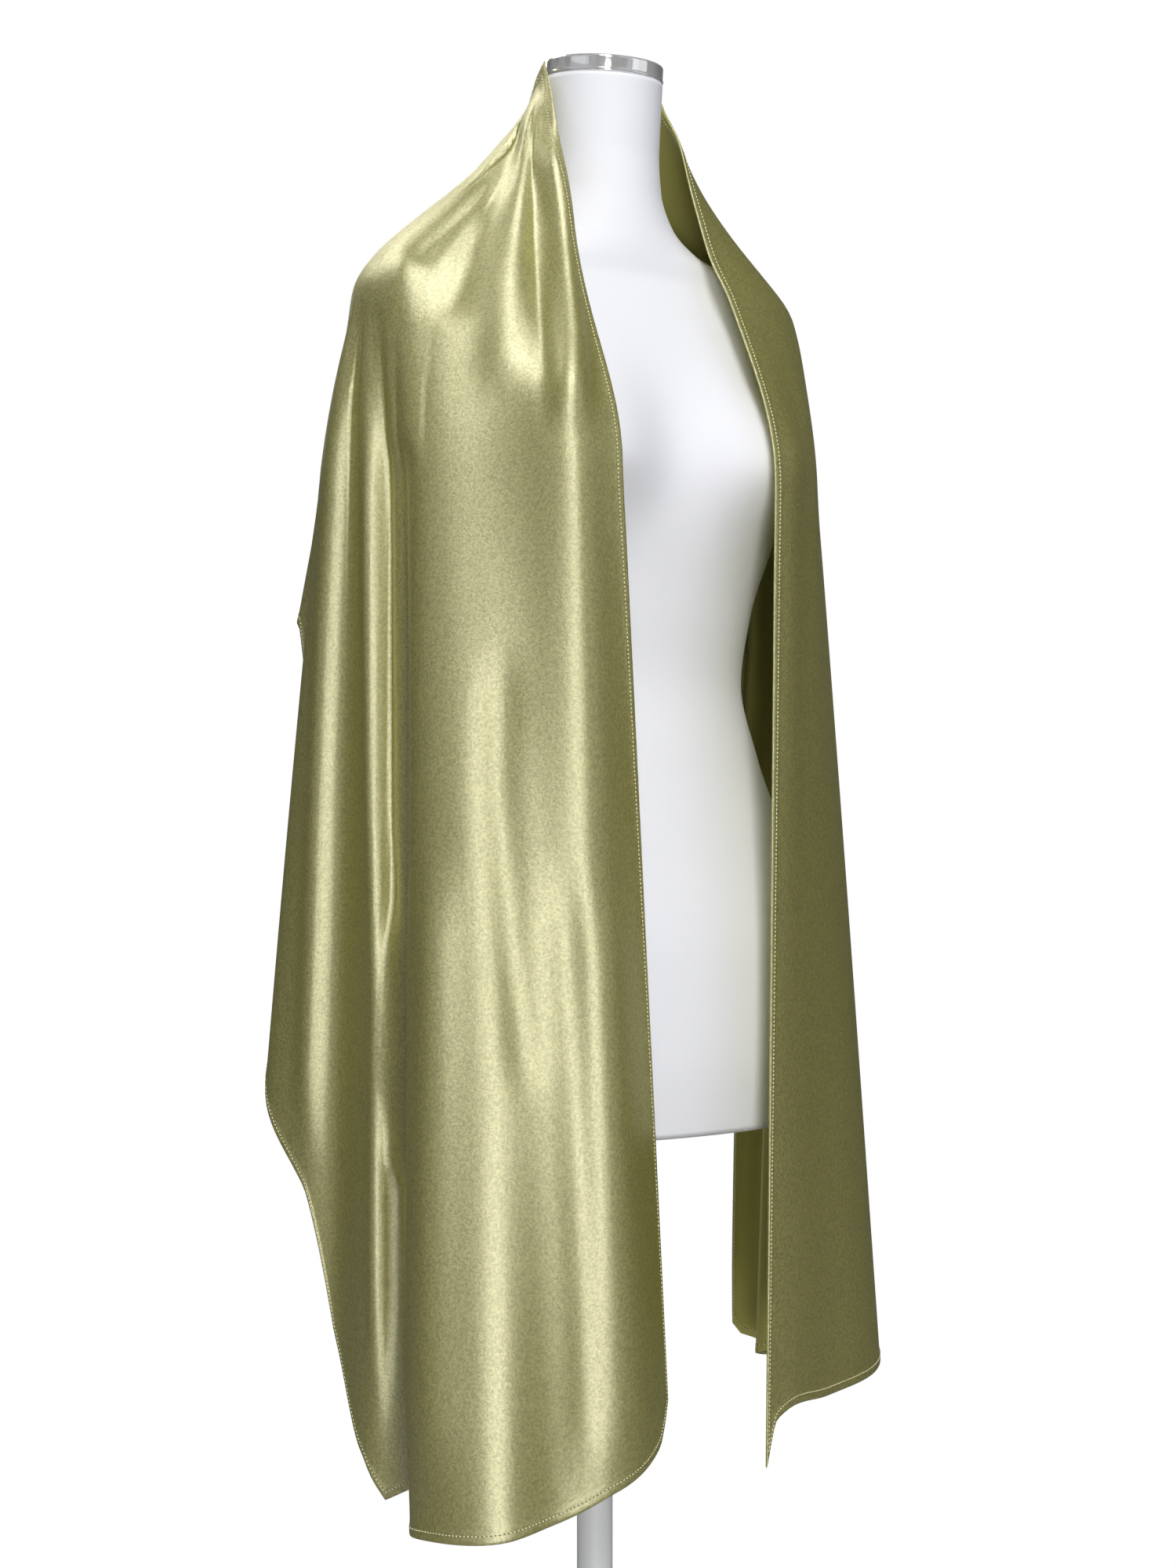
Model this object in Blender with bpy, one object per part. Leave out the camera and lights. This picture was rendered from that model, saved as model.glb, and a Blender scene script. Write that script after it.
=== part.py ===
"""An evening stole draped over a limbless dress form, with the form's pole and base.

Metres, +Z up, the form facing -Y, its right side at -X. The origin is the middle of the base's underside.
"""
import math

import bmesh
import bpy
import numpy as np

# NECK TO HIP: the form's rings, bottom to top. "square" is 2 for an ellipse and more for a boxier ring.
BODY_COLUMNS = ("z", "half_width", "front", "back", "centre_y", "square")
BODY = [
    (0.725, 0.1640, 0.1130, 0.1100, 0.000, 2.15),
    (0.780, 0.1710, 0.1170, 0.1160, 0.000, 2.15),
    (0.840, 0.1700, 0.1150, 0.1180, 0.000, 2.15),
    (0.920, 0.1460, 0.1020, 0.1040, 0.000, 2.15),
    (0.980, 0.1220, 0.0920, 0.0890, 0.000, 2.10),
    (1.030, 0.1090, 0.0850, 0.0800, 0.000, 2.10),
    (1.080, 0.1170, 0.0900, 0.0840, 0.000, 2.10),
    (1.130, 0.1350, 0.0970, 0.0900, 0.000, 2.15),
    (1.170, 0.1460, 0.1000, 0.0930, 0.002, 2.20),
    (1.210, 0.1540, 0.0960, 0.0940, 0.004, 2.20),
    (1.250, 0.1640, 0.0870, 0.0900, 0.007, 2.20),
    (1.278, 0.1690, 0.0760, 0.0800, 0.010, 2.15),
    (1.294, 0.1670, 0.0690, 0.0720, 0.011, 2.10),
    (1.307, 0.1570, 0.0640, 0.0680, 0.011, 2.10),
    (1.319, 0.1310, 0.0620, 0.0650, 0.009, 2.05),
    (1.330, 0.0860, 0.0570, 0.0600, 0.004, 2.00),
    (1.347, 0.0570, 0.0500, 0.0540, -0.001, 2.00),
    (1.372, 0.0430, 0.0430, 0.0460, -0.006, 2.00),
    (1.400, 0.0405, 0.0405, 0.0415, -0.008, 2.00),
    (1.449, 0.0410, 0.0410, 0.0410, -0.0112, 2.00),
]
BUST_Z = 1.180           # height of the fullest part of the bust
BUST_TURN = 33.0         # degrees each side of the front
BUST_RISE = 0.032
BUST_SPREAD = 19.0       # degrees
BUST_UP, BUST_DOWN = 0.050, 0.038

# TENT: the cloth's rings from the neck to the shoulder tips. "fan" runs 0 at the collar to 1 at the tips.
TENT_COLUMNS = ("z", "right", "left", "front", "back", "centre_y", "fan")
TENT = [
    (1.410, 0.0640, 0.0600, 0.0500, 0.0580, -0.004, 0.54),
    (1.380, 0.0890, 0.0840, 0.0580, 0.0680, 0.004, 0.75),
    (1.350, 0.1240, 0.1160, 0.0700, 0.0820, 0.010, 0.88),
    (1.320, 0.1570, 0.1530, 0.0820, 0.0960, 0.014, 0.95),
    (1.297, 0.1716, 0.1706, 0.0960, 0.1040, 0.014, 1.00),
]
COLLAR_RADIUS = 0.0442
COLLAR_DEPTH = 0.0450
COLLAR_Y = -0.0110
# height of the collar's edge at a turn round the neck, front right round the back to front left
COLLAR_EDGE = [(94, 1.4570), (106, 1.4500), (128, 1.4370), (180, 1.4240), (235, 1.4300), (272, 1.4400)]

# FOLDS: each line of the cloth from collar to hem: turn at collar and shoulder, place at bust and foot, hem.
FOLD_COLUMNS = ("name", "collar", "shoulder", "bust_x", "bust_y", "foot_x", "foot_y", "hem_z")
FOLDS = [
    ("r_edge",         94,  35.0, -0.0694, -0.1342, -0.0206, -0.1200, 0.556),
    ("r_edge_in",      97,  40.0, -0.0903, -0.1393, -0.0443, -0.1425, 0.532),
    ("r_crest_a",     100,  46.0, -0.1102, -0.1421, -0.0975, -0.1634, 0.514),
    ("r_valley_a",    103,  54.0, -0.1286, -0.1194, -0.1354, -0.1535, 0.499),
    ("r_crest_b",     106,  62.0, -0.1493, -0.0938, -0.1690, -0.1538, 0.494),
    ("r_panel_side",  109,  70.0, -0.1750, -0.0660, -0.1969, -0.1132, 0.489),
    ("r_overfold",    113,  77.0, -0.1775, -0.0468, -0.1870, -0.0717, 0.484),
    ("r_under_in",    116,  80.5, -0.1740, -0.0345, -0.1479, -0.0691, 0.492),
    ("r_under_out",   118,  83.5, -0.1765, -0.0290, -0.1438, -0.0309, 0.498),
    ("r_corner",      121,  87.0, -0.1795, -0.0225, -0.1641,  0.0070, 0.482),
    ("r_side_flat",   122,  88.5, -0.1838, -0.0111, -0.1715,  0.0216, 0.507),
    ("r_side_dip",    124,  90.5, -0.1852,  0.0139, -0.1693,  0.0719, 0.585),
    ("r_side_crest",  127,  94.0, -0.1905,  0.0259, -0.1865,  0.0968, 0.683),
    ("r_side_turn",   130,  98.0, -0.1821,  0.0640, -0.2040,  0.1460, 0.770),
    ("r_back_dip",    134, 102.5, -0.1705,  0.0800, -0.1760,  0.1180, 0.960),
    ("r_flap",        140, 108.0, -0.1639,  0.0985, -0.2473,  0.1788, 1.073),
    ("r_blade",       158, 130.0, -0.1150,  0.1050, -0.1180,  0.1280, 1.020),
    ("back",          180, 180.0,  0.0000,  0.1050,  0.0000,  0.1280, 0.990),
    ("l_blade",       202, 230.0,  0.1150,  0.1020,  0.1180,  0.1260, 0.990),
    ("l_flap",        224, 250.0,  0.2035,  0.0750,  0.2300,  0.1450, 0.985),
    ("l_back_dip",    231, 256.0,  0.1815,  0.0500,  0.1800,  0.0930, 0.820),
    ("l_corner",      237, 261.5,  0.1921,  0.0335,  0.1993,  0.1061, 0.535),
    ("l_under_out",   241, 265.0,  0.1912,  0.0195,  0.2230,  0.0700, 0.524),
    ("l_under_in",    245, 268.5,  0.1739,  0.0068,  0.1650,  0.0300, 0.536),
    ("l_side_crest",  250, 275.0,  0.1697, -0.0250,  0.2246, -0.0067, 0.545),
    ("l_side",        255, 285.0,  0.1455, -0.0668,  0.1873, -0.0853, 0.541),
    ("l_panel",       260, 298.0,  0.1192, -0.0965,  0.1075, -0.1267, 0.542),
    ("l_dip",         264, 309.0,  0.0991, -0.1109,  0.0597, -0.1511, 0.547),
    ("l_edge_in",     268, 319.0,  0.0772, -0.1267,  0.0366, -0.1577, 0.541),
    ("l_edge",        272, 327.0,  0.0537, -0.1356,  0.0268, -0.1604, 0.512),
]
BUST_LINE, FOOT_LINE = 1.165, 0.500   # heights at which the folds' places are given
HANG = (1.165, 1.120, 1.040, 0.900, 0.700, 0.420)
CORNERS = ("r_corner", "l_corner")    # where the outer hem meets the two bottom hems
CLEAR = 0.0028           # from the form's face to the middle of the cloth
EASE = 0.003             # how softly the cloth lifts off the form

NAMES = [row[0] for row in FOLDS]
LAST = len(FOLDS) - 1


def smooth_through(xs, ys, x):
    """A curve through the points that never overshoots them; ys may hold several columns."""
    xs, ys = np.asarray(xs, float), np.asarray(ys, float)
    if xs[0] > xs[-1]:
        xs, ys = xs[::-1], ys[::-1]
    column = (-1,) + (1,) * (ys.ndim - 1)
    gap = np.diff(xs)
    rate = np.diff(ys, axis=0) / gap.reshape(column)
    first = (2 * gap[1:] + gap[:-1]).reshape(column)
    second = (gap[1:] + 2 * gap[:-1]).reshape(column)
    slope = np.zeros_like(ys)
    same = rate[:-1] * rate[1:] > 0
    safe = np.where(same, rate[:-1], 1.0), np.where(same, rate[1:], 1.0)
    mean = (first + second) / (first / safe[0] + second / safe[1])
    slope[1:-1] = np.where(same, mean, 0.0)
    slope[0], slope[-1] = rate[0], rate[-1]
    x = np.asarray(x, float)
    k = np.clip(np.searchsorted(xs, x) - 1, 0, len(gap) - 1)
    wide = x.shape + (1,) * (ys.ndim - 1)
    t = ((x - xs[k]) / gap[k]).reshape(wide)
    step = gap[k].reshape(wide)
    value = (2 * t**3 - 3 * t**2 + 1) * ys[k] + (3 * t**2 - 2 * t**3) * ys[k + 1]
    return value + step * ((t**3 - 2 * t**2 + t) * slope[k] + (t**3 - t**2) * slope[k + 1])


def bend_through(ts, points, t):
    """A natural cubic spline through points at ts."""
    n = len(ts)
    h = np.diff(ts)
    left = np.zeros((n, n))
    right = np.zeros_like(points)
    left[0, 0] = left[-1, -1] = 1.0
    for i in range(1, n - 1):
        left[i, i - 1:i + 2] = h[i - 1], 2 * (h[i - 1] + h[i]), h[i]
        right[i] = 6 * ((points[i + 1] - points[i]) / h[i] - (points[i] - points[i - 1]) / h[i - 1])
    curve = np.linalg.solve(left, right)
    k = np.clip(np.searchsorted(ts, t) - 1, 0, n - 2)
    step = h[k][:, None]
    a = (ts[k + 1] - t)[:, None] / step
    b = (t - ts[k])[:, None] / step
    arc = ((a**3 - a) * curve[k] + (b**3 - b) * curve[k + 1]) * step**2 / 6
    return a * points[k] + b * points[k + 1] + arc


def body_radius(turn, z):
    """The form's radius and centre at a turn in radians from the front; a positive turn is the form's right."""
    table = np.array(BODY)
    row = smooth_through(table[:, 0], table[:, 1:], np.clip(z, table[0, 0], table[-1, 0]))
    half, front, back, centre, square = (row[..., i] for i in range(5))
    s, c = np.abs(np.sin(turn)), np.cos(turn)
    deep = np.where(c > 0, front, back)
    r = ((s / half) ** square + (np.abs(c) / deep) ** square) ** (-1 / square)
    lift = np.exp(-((z - BUST_Z) / np.where(z > BUST_Z, BUST_UP, BUST_DOWN)) ** 2)
    degrees = (np.degrees(turn) + 180) % 360 - 180
    for side in (-1, 1):
        r = r + BUST_RISE * lift * np.exp(-((degrees - side * BUST_TURN) / BUST_SPREAD) ** 2)
    return r, centre


def body_point(turn, z):
    r, centre = body_radius(turn, z)
    return np.stack([-r * np.sin(turn), centre - r * np.cos(turn), z + 0 * r], -1)


def on_ring(degrees, right, left, front, back, centre):
    t = math.radians(degrees)
    s, c = math.sin(t), math.cos(t)
    square = 2.0 if c > 0 else 2.3
    half = right if s > 0 else left
    deep = front if c > 0 else back
    r = ((abs(s) / half) ** square + (abs(c) / deep) ** square) ** (-1 / square)
    return (-r * s, centre - r * c)


def collar_height(degrees):
    return smooth_through([c[0] for c in COLLAR_EDGE], [c[1] for c in COLLAR_EDGE], degrees)


def fold_line(row):
    """The heights and plan places one fold line runs through, collar to hem."""
    name, collar, shoulder, bust_x, bust_y, foot_x, foot_y, hem = row
    heights = [float(collar_height(float(collar)))]
    places = [on_ring(collar, COLLAR_RADIUS, COLLAR_RADIUS, COLLAR_DEPTH, COLLAR_DEPTH, COLLAR_Y)]
    for z, right, left, front, back, centre, fan in TENT:
        heights.append(z)
        places.append(on_ring(collar + (shoulder - collar) * fan, right, left, front, back, centre))
    bust, foot = np.array([bust_x, bust_y]), np.array([foot_x, foot_y])
    for z in HANG:
        heights.append(z)
        places.append(tuple(bust + (foot - bust) * (BUST_LINE - z) / (BUST_LINE - FOOT_LINE)))
    return np.array(heights), np.array(places)


LINES = [fold_line(row) for row in FOLDS]


def section(z, s):
    """The cloth's plan at height z for places s, where s counts fold lines from the right front edge."""
    places = []
    for heights, path in LINES:
        places.append(smooth_through(heights, path, min(z, heights[0])))
    places = np.array(places)
    runs = np.linalg.norm(np.diff(places, axis=0), axis=1) ** 0.75
    ts = np.concatenate([[0], np.cumsum(runs)])
    k = np.clip(np.floor(s).astype(int), 0, LAST - 1)
    return bend_through(ts, places, ts[k] + (ts[k + 1] - ts[k]) * (s - k))


def hem_height(s):
    """Height of the hem at s, with a kink at each corner."""
    hems = np.array([row[-1] for row in FOLDS])
    ends = (0, NAMES.index(CORNERS[0]), NAMES.index(CORNERS[1]), LAST)
    out = np.zeros_like(s)
    for low, high in zip(ends[:-1], ends[1:]):
        inside = (s >= low) & (s <= high)
        out[inside] = smooth_through(np.arange(low, high + 1), hems[low:high + 1], s[inside])
    return out


def off_the_form(plan, z):
    """Pushes plan points out of the form, softly."""
    r, centre = body_radius(np.arctan2(-plan[..., 0], -plan[..., 1]), z)
    away = plan - np.stack([0 * centre, centre], -1)
    far = np.linalg.norm(away, axis=-1)
    r, centre = body_radius(np.arctan2(-away[..., 0], -away[..., 1]), z)
    fade = np.clip((z - (BODY[0][0] - 0.13)) / 0.12, 0, 1)
    need = (r + CLEAR) * fade * fade * (3 - 2 * fade)
    deep = np.clip((need - far) / EASE, -20, 20)
    out = np.where(need - far > 20 * EASE, need, far + EASE * np.log1p(np.exp(deep)))
    return np.stack([0 * centre, centre], -1) + away * (out / far)[..., None]


def cloth(s, t):
    """Middle of the cloth: s across the folds, t from 0 at the collar's edge to 1 at the hem."""
    turns = np.interp(s, np.arange(LAST + 1), [row[1] for row in FOLDS])
    top = collar_height(turns)
    hem = hem_height(s)
    z = top[:, None] + (hem - top)[:, None] * t[None, :]
    ladder = np.concatenate([np.linspace(0.44, 1.155, 60), np.linspace(1.16, 1.46, 61)])
    plans = np.array([section(height, s) for height in ladder])
    out = np.zeros(z.shape + (3,))
    for i in range(len(s)):
        for axis in (0, 1):
            out[i, :, axis] = np.interp(z[i], ladder, plans[:, i, axis])
        out[i, :, 2] = z[i]
    out[..., :2] = off_the_form(out[..., :2], out[..., 2])
    return out

# STAND
BASE_RADIUS = 0.170
BASE_THICK = 0.014
BASE_SOFT = 0.004        # bevel round the base's top edge
POLE_RADIUS = 0.0125
FLANGE_RADIUS = 0.034
FLANGE_THICK = 0.012
SEAT = 0.0003            # gap left between pieces that touch

# NECK CAP
CAP_RADIUS = 0.0415
CAP_THICK = 0.0115
CAP_TILT = math.radians(5.5)   # the neck's top falls to the front
CAP_SOFT = 0.0015
TILT_FROM = 1.425              # the neck starts to tilt here

# CLOTH
WALL = 0.0014            # satin and its thread, drawn a little heavy
HEM_WALL = 0.0022        # where the hem is turned and stitched
HEM_SHARE = 0.013        # the hem's share of a fold line's length
STEPS = 3                # columns between two fold lines
ROWS = 30                # rows from collar to hem
SPLITS = (15.5, 18.5)    # where the back stretch meets the two fronts

BODY_TURNS = 44
BODY_ROWS = 34


def clear_scene():
    for thing in list(bpy.data.objects):
        bpy.data.objects.remove(thing, do_unlink=True)


def material(name, colour, metallic, roughness):
    made = bpy.data.materials.new(name)
    made.use_nodes = True
    shader = made.node_tree.nodes["Principled BSDF"]
    shader.inputs["Base Color"].default_value = (*colour, 1.0)
    shader.inputs["Metallic"].default_value = metallic
    shader.inputs["Roughness"].default_value = roughness
    return made


def add_object(name, points, faces, look, home):
    """One closed mesh object with smooth shading."""
    shell = bmesh.new()
    corners = [shell.verts.new(tuple(map(float, p))) for p in points]
    for face in faces:
        shell.faces.new([corners[i] for i in face])
    bmesh.ops.recalc_face_normals(shell, faces=shell.faces)
    data = bpy.data.meshes.new(name)
    shell.to_mesh(data)
    shell.free()
    for polygon in data.polygons:
        polygon.use_smooth = True
    made = bpy.data.objects.new(name, data)
    made.data.materials.append(look)
    home.objects.link(made)
    return made


def turned(name, profile, sides, look, home, place=None):
    """A solid of revolution about Z from (radius, height) pairs, bottom to top; place moves each point."""
    angles = [2 * math.pi * i / sides for i in range(sides)]
    points = []
    for radius, height in profile:
        points += [(radius * math.cos(a), radius * math.sin(a), height) for a in angles]
    faces = []
    for ring in range(len(profile) - 1):
        for i in range(sides):
            j = (i + 1) % sides
            low, high = ring * sides, (ring + 1) * sides
            faces.append((low + i, low + j, high + j, high + i))
    faces.append(tuple(reversed(range(sides))))
    top = (len(profile) - 1) * sides
    faces.append(tuple(range(top, top + sides)))
    if place:
        points = [place(p) for p in points]
    return add_object(name, points, faces, look, home)


def rounded(radius, low, high, soft, steps=3):
    """The profile of a disc with its top edge rounded."""
    pairs = [(radius, low)]
    for i in range(steps + 1):
        a = 0.5 * math.pi * i / steps
        pairs.append((radius - soft * (1 - math.cos(a)), high - soft * (1 - math.sin(a))))
    return pairs


def neck_tilt(point):
    """Tilts the top of the neck about its centre, blended in from TILT_FROM."""
    x, y, z = point
    centre = BODY[-1][4]
    blend = min(1.0, max(0.0, (z - TILT_FROM) / (BODY[-1][0] - TILT_FROM)))
    return (x, y, z + blend * math.tan(CAP_TILT) * (y - centre))


def make_form(look, home):
    heights = np.concatenate([
        np.linspace(BODY[0][0], 1.10, 13)[:-1],
        np.linspace(1.10, 1.26, 10)[:-1],
        np.linspace(1.26, 1.36, 12)[:-1],
        np.linspace(1.36, BODY[-1][0], 5),
    ])
    turns = [2 * math.pi * i / BODY_TURNS for i in range(BODY_TURNS)]
    points, faces = [], []
    for z in heights:
        for turn in turns:
            points.append(neck_tilt(body_point(np.float64(turn), np.float64(z))))
    for ring in range(len(heights) - 1):
        for i in range(BODY_TURNS):
            j = (i + 1) % BODY_TURNS
            low, high = ring * BODY_TURNS, (ring + 1) * BODY_TURNS
            faces.append((low + i, low + j, high + j, high + i))
    faces.append(tuple(reversed(range(BODY_TURNS))))
    top = (len(heights) - 1) * BODY_TURNS
    faces.append(tuple(range(top, top + BODY_TURNS)))
    return add_object("dress_form", points, faces, look, home)


def make_cap(look, home):
    base = BODY[-1][0]
    centre = BODY[-1][4]

    def place(point):
        x, y, z = point
        up, over = math.cos(CAP_TILT), math.sin(CAP_TILT)
        return (x, centre + y * up - z * over, base + SEAT / up + y * over + z * up)

    return turned("neck_cap", rounded(CAP_RADIUS, 0.0, CAP_THICK, CAP_SOFT), 48, look, home, place)


def stretch_places(low, high):
    """Places across the folds from low to high, STEPS to each gap."""
    inner = np.arange(math.floor(low * STEPS) + 1, math.ceil(high * STEPS)) / STEPS
    return np.concatenate([[low], inner, [high]])


def make_stretch(name, low, high, look, home):
    """One stretch of the stole as a closed wall, thicker where its own hem runs."""
    s = stretch_places(low, high)
    t = np.concatenate([[0.0, HEM_SHARE], np.linspace(0, 1, ROWS)[1:-1], [1 - HEM_SHARE, 1.0]])
    middle = cloth(s, t)
    nudge = 0.2 / STEPS
    before, after = np.maximum(s - nudge, 0), np.minimum(s + nudge, LAST)
    across = cloth(after, t) - cloth(before, t)
    down = np.gradient(middle, axis=1)
    out = np.cross(across, down)
    out /= np.linalg.norm(out, axis=-1, keepdims=True)
    thick = np.full(middle.shape[:2], WALL)
    thick[:, :2] = HEM_WALL
    thick[:, -2:] = HEM_WALL
    for column, is_hem, way in ((0, low == 0, 1), (-1, high == LAST, -1)):
        if is_hem:
            thick[column] = HEM_WALL
        else:
            along = across[column] / np.linalg.norm(across[column], axis=-1, keepdims=True)
            middle[column] += way * 0.5 * SEAT * along
    outer = middle + out * thick[..., None] / 2
    inner = middle - out * thick[..., None] / 2
    wide, deep = len(s), len(t)
    points = np.concatenate([outer.reshape(-1, 3), inner.reshape(-1, 3)])

    def at(side, i, j):
        return side * wide * deep + i * deep + j

    faces = []
    for i in range(wide - 1):
        for j in range(deep - 1):
            faces.append((at(0, i, j), at(0, i + 1, j), at(0, i + 1, j + 1), at(0, i, j + 1)))
            faces.append((at(1, i, j), at(1, i, j + 1), at(1, i + 1, j + 1), at(1, i + 1, j)))
        for j in (0, deep - 1):
            faces.append((at(0, i, j), at(1, i, j), at(1, i + 1, j), at(0, i + 1, j)))
    for j in range(deep - 1):
        for i in (0, wide - 1):
            faces.append((at(0, i, j), at(0, i, j + 1), at(1, i, j + 1), at(1, i, j)))
    return add_object(name, points, faces, look, home)


clear_scene()
home = bpy.data.collections.new("evening_stole_on_dress_form")
bpy.context.scene.collection.children.link(home)

satin = material("satin", (0.30, 0.29, 0.13), 0.0, 0.35)
jersey = material("white_jersey", (0.86, 0.86, 0.90), 0.0, 0.75)
chrome = material("chrome", (0.80, 0.80, 0.82), 1.0, 0.08)
white_paint = material("white_paint", (0.84, 0.85, 0.87), 0.0, 0.40)

turned("stand_base", rounded(BASE_RADIUS, 0.0, BASE_THICK, BASE_SOFT), 64, white_paint, home)
flange_low = BODY[0][0] - SEAT - FLANGE_THICK
pole = [(POLE_RADIUS, BASE_THICK + SEAT), (POLE_RADIUS, flange_low - SEAT)]
turned("stand_pole", pole, 32, white_paint, home)
flange = list(reversed([(r, 2 * flange_low + FLANGE_THICK - z) for r, z in
                        rounded(FLANGE_RADIUS, flange_low, flange_low + FLANGE_THICK, 0.002)]))
turned("pole_flange", flange, 40, white_paint, home)
make_form(jersey, home)
make_cap(chrome, home)
make_stretch("stole_right_front", 0, SPLITS[0], satin, home)
make_stretch("stole_back", SPLITS[0], SPLITS[1], satin, home)
make_stretch("stole_left_front", SPLITS[1], LAST, satin, home)
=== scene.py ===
"""Looks of an evening stole draped over a limbless dress form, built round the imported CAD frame.

Metres, +Z up, the form facing -Y, its right side at -X. The tables of the form and of the cloth's folds are
the ones the CAD part is built from; the finer creases are placed here.
"""

import math

import bpy
import numpy as np
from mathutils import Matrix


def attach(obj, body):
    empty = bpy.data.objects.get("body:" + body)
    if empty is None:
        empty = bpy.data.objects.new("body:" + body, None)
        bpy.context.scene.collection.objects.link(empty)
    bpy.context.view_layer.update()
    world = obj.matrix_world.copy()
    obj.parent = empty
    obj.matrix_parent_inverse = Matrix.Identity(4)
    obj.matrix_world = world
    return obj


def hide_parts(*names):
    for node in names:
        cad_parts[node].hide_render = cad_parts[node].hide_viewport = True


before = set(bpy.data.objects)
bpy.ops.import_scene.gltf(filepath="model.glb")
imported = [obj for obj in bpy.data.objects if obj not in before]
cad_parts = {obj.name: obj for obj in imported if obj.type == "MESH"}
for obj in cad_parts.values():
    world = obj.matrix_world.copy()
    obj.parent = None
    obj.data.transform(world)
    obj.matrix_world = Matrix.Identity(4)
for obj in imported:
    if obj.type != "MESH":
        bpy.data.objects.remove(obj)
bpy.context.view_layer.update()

# HIP TO NECK: the form's rings, bottom to top. "square" is 2 for an ellipse and more for a boxier ring.
BODY = [
    # z, half_width, front, back, centre_y, square
    (0.725, 0.1640, 0.1130, 0.1100, 0.000, 2.15),
    (0.780, 0.1710, 0.1170, 0.1160, 0.000, 2.15),
    (0.840, 0.1700, 0.1150, 0.1180, 0.000, 2.15),
    (0.920, 0.1460, 0.1020, 0.1040, 0.000, 2.15),
    (0.980, 0.1220, 0.0920, 0.0890, 0.000, 2.10),
    (1.030, 0.1090, 0.0850, 0.0800, 0.000, 2.10),
    (1.080, 0.1170, 0.0900, 0.0840, 0.000, 2.10),
    (1.130, 0.1350, 0.0970, 0.0900, 0.000, 2.15),
    (1.170, 0.1460, 0.1000, 0.0930, 0.002, 2.20),
    (1.210, 0.1540, 0.0960, 0.0940, 0.004, 2.20),
    (1.250, 0.1640, 0.0870, 0.0900, 0.007, 2.20),
    (1.278, 0.1690, 0.0760, 0.0800, 0.010, 2.15),
    (1.294, 0.1670, 0.0690, 0.0720, 0.011, 2.10),
    (1.307, 0.1570, 0.0640, 0.0680, 0.011, 2.10),
    (1.319, 0.1310, 0.0620, 0.0650, 0.009, 2.05),
    (1.330, 0.0860, 0.0570, 0.0600, 0.004, 2.00),
    (1.347, 0.0570, 0.0500, 0.0540, -0.001, 2.00),
    (1.372, 0.0430, 0.0430, 0.0460, -0.006, 2.00),
    (1.400, 0.0405, 0.0405, 0.0415, -0.008, 2.00),
    (1.449, 0.0410, 0.0410, 0.0410, -0.0112, 2.00),
]
BUST_Z = 1.180           # height of the fullest part of the bust
BUST_TURN = 33.0         # degrees each side of the front
BUST_RISE = 0.032
BUST_SPREAD = 19.0       # degrees
BUST_UP, BUST_DOWN = 0.050, 0.038

# TENT: the cloth's rings from the neck to the shoulder tips. "fan" runs 0 at the collar to 1 at the tips.
TENT = [
    # z, right, left, front, back, centre_y, fan
    (1.410, 0.0640, 0.0600, 0.0500, 0.0580, -0.004, 0.54),
    (1.380, 0.0890, 0.0840, 0.0580, 0.0680, 0.004, 0.75),
    (1.350, 0.1240, 0.1160, 0.0700, 0.0820, 0.010, 0.88),
    (1.320, 0.1570, 0.1530, 0.0820, 0.0960, 0.014, 0.95),
    (1.297, 0.1716, 0.1706, 0.0960, 0.1040, 0.014, 1.00),
]
COLLAR_RADIUS = 0.0442
COLLAR_DEPTH = 0.0450
COLLAR_Y = -0.0110
# height of the collar's edge at a turn round the neck, front right round the back to front left
COLLAR_EDGE = [(94, 1.4570), (106, 1.4500), (128, 1.4370), (180, 1.4240), (235, 1.4300), (272, 1.4400)]

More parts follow.
